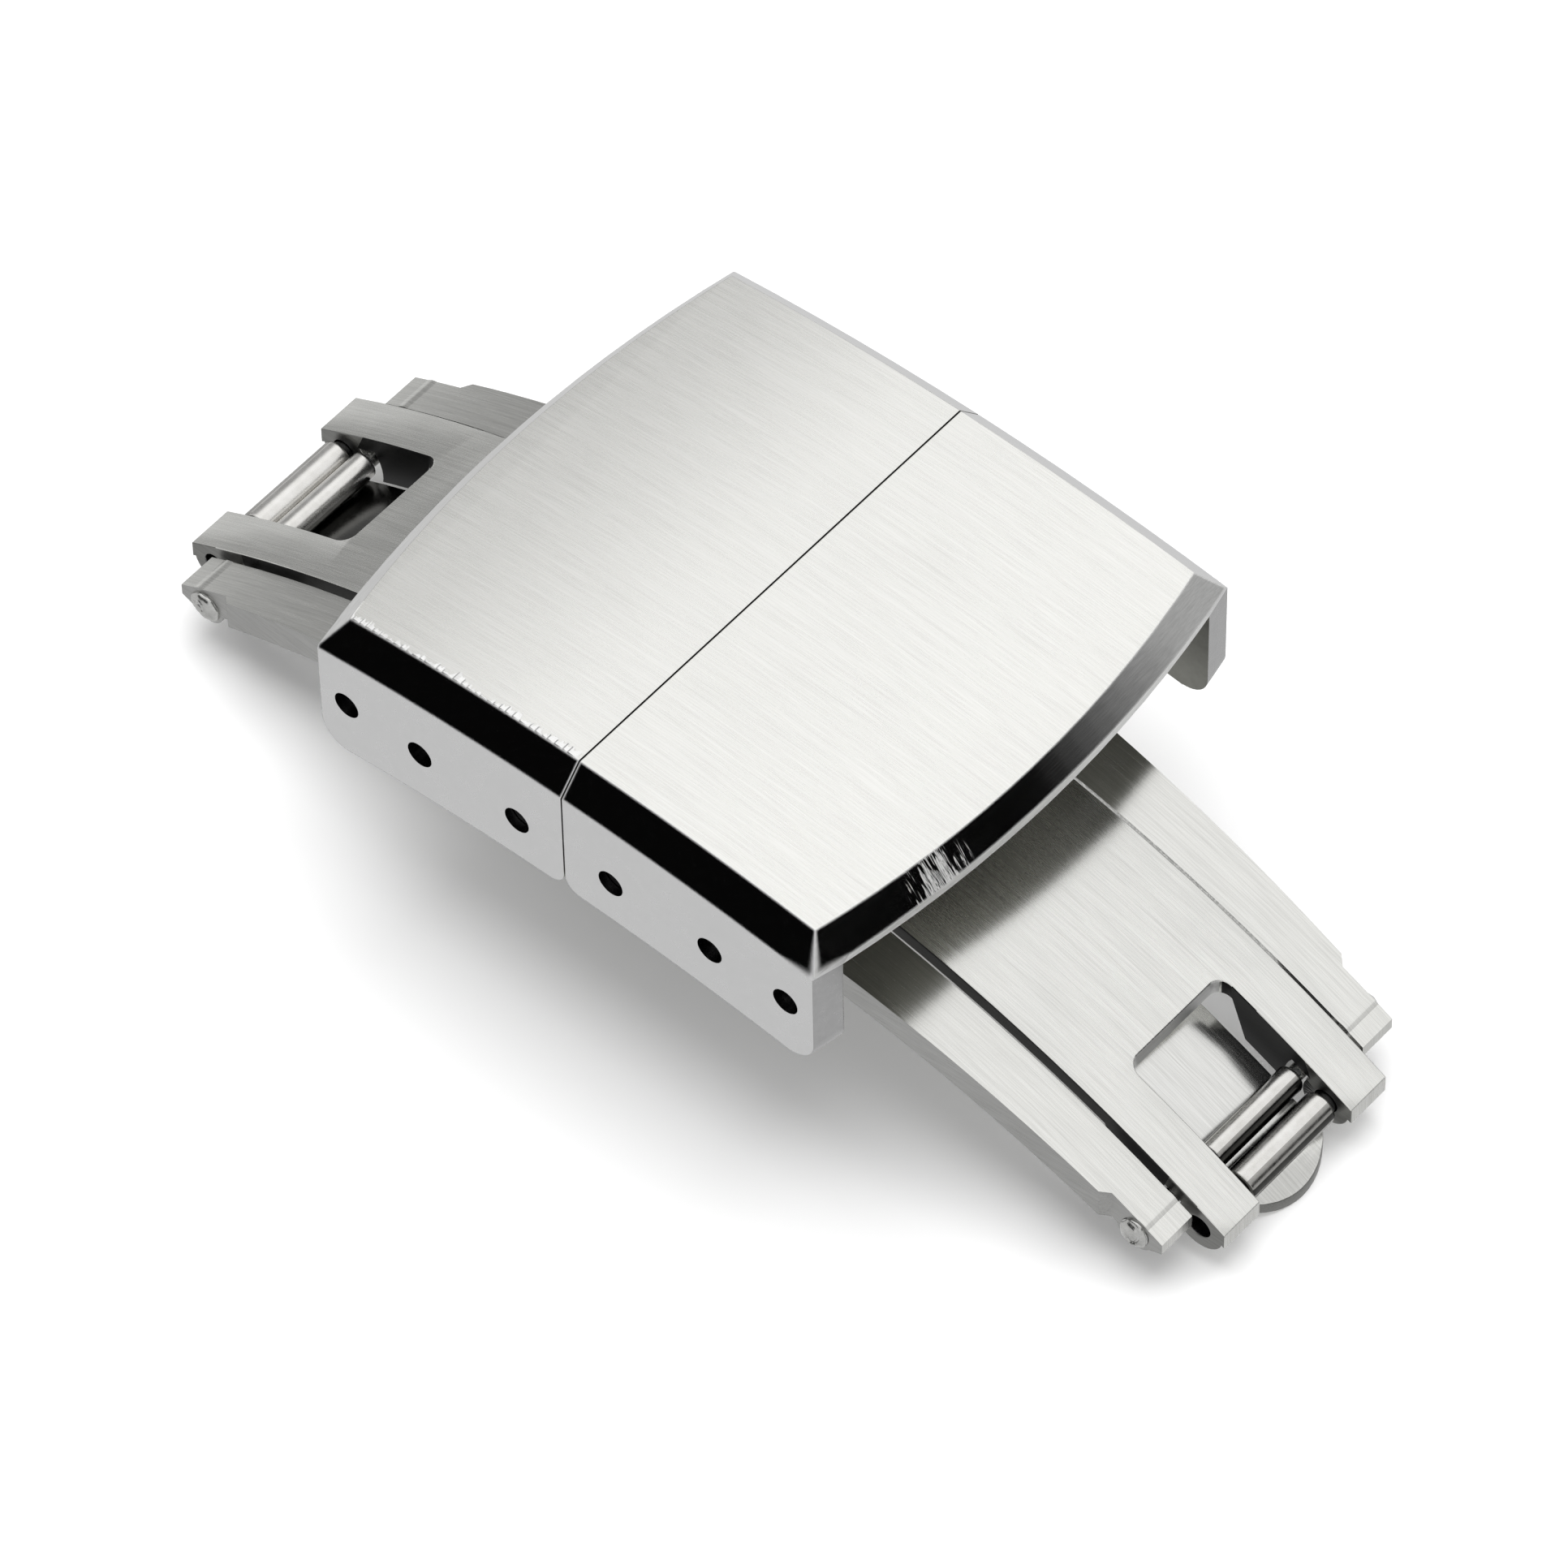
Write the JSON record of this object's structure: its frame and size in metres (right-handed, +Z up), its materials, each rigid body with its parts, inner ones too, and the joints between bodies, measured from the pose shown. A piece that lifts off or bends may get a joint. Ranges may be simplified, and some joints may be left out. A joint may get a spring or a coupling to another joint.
{
  "type": "deployant clasp",
  "caption": "Double-folding steel deployant clasp for a watch strap, shut, with two arched covers over hinged blades.",
  "frame": {"origin": "under the middle of the seam, on the surface that the spine strip's tips rest on", "axes": "X along the strap, Y across it, Z up from the wrist"},
  "size_m": [0.044, 0.0204, 0.0136],
  "materials": {
    "cover_steel": "brushed top, polished chamfers",
    "arm_steel": "brushed",
    "rail_steel": "brushed",
    "strip_steel": "satin",
    "barrel_steel": "polished",
    "spring_steel": "satin",
    "pin_steel": "satin"
  },
  "bodies": {
    "base": {"base_frame": "rail_steel", "spine_strip": "strip_steel", "spine_rivets": "pin_steel", "catch_block": "pin_steel", "catch_spring": "spring_steel", "catch_rivets": "pin_steel", "frame_pin_left": "pin_steel", "frame_pin_right": "pin_steel", "frame_barrel_left": "barrel_steel", "frame_barrel_right": "barrel_steel", "hinge_barrel_left": "barrel_steel", "hinge_barrel_right": "barrel_steel"},
    "arm_left": {"arm_left": "arm_steel", "arm_pin_left": "pin_steel"},
    "cover_left": {"cover_left": "cover_steel", "cover_pin_left": "pin_steel", "cover_spacers_left": "pin_steel"},
    "arm_right": {"arm_right": "arm_steel", "arm_pin_right": "pin_steel"},
    "cover_right": {"cover_right": "cover_steel", "cover_pin_right": "pin_steel", "cover_spacers_right": "pin_steel"}
  },
  "joints": [
    {"name": "arm_left_open", "type": "hinge", "parent": "base", "child": "arm_left", "pos_m": [-0.02095, 0, 0.00179], "axis": [0, -1, 0], "range_deg": [0, 150]},
    {"name": "cover_left_swing", "type": "hinge", "parent": "arm_left", "child": "cover_left", "pos_m": [-0.00196, 0, 0.00981], "axis": [0, 1, 0], "range_deg": [0, 150]},
    {"name": "arm_right_open", "type": "hinge", "parent": "base", "child": "arm_right", "pos_m": [0.02095, 0, 0.00179], "axis": [0, 1, 0], "range_deg": [0, 150]},
    {"name": "cover_right_swing", "type": "hinge", "parent": "arm_right", "child": "cover_right", "pos_m": [0.00196, 0, 0.00981], "axis": [0, -1, 0], "range_deg": [0, 150]}
  ],
  "couplings": [
    {"joint": "cover_left_swing", "follows": "arm_left_open", "ratio": 1},
    {"joint": "cover_right_swing", "follows": "arm_right_open", "ratio": 1}
  ]
}
